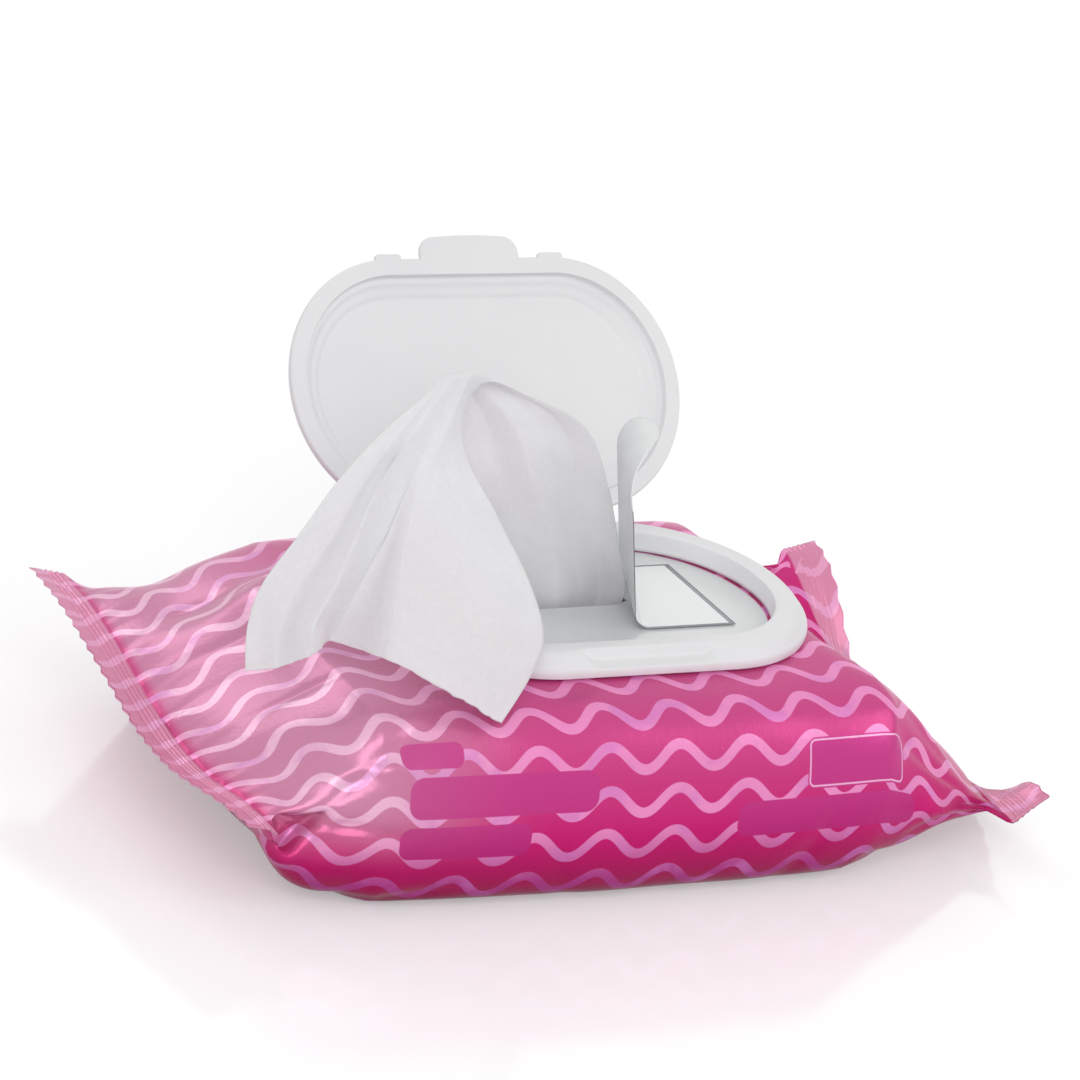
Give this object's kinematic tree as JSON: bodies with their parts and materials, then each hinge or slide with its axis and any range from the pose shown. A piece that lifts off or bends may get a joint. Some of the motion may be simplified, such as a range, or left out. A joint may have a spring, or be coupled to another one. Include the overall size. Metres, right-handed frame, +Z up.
{
  "type": "wet wipes pack",
  "caption": "Film pouch of folded wet wipes with a stadium-shaped flip-top closure, a peeled reseal label and a wipe drawn up through the opening.",
  "frame": {"origin": "centre of the pouch's flat underside, on the surface it rests on", "axes": "+X along the pack's length from one crimped end to the other, +Y towards the lid's hinge, +Z up"},
  "size_m": [0.205, 0.1241, 0.0985],
  "materials": {
    "pouch_film": "satin printed film, pink with paler wavy stripes",
    "closure_plastic": "moulded white polypropylene, soft gloss",
    "label_film": "glossy white film with a silver margin",
    "nonwoven": "moist white nonwoven"
  },
  "bodies": {
    "pack": {"pouch": "pouch_film", "wipe_stack": "nonwoven", "closure_ring": "closure_plastic", "reseal_label": "label_film", "pulled_wipe": "nonwoven"},
    "lid": {"lid": "closure_plastic"}
  },
  "joints": [
    {"name": "lid_hinge", "type": "hinge", "parent": "pack", "child": "lid", "pos_m": [0.0025, 0.03067, 0.0463], "axis": [1, 0, 0], "range_deg": [0, 129], "deforming": ["reseal_label", "pulled_wipe"]}
  ]
}
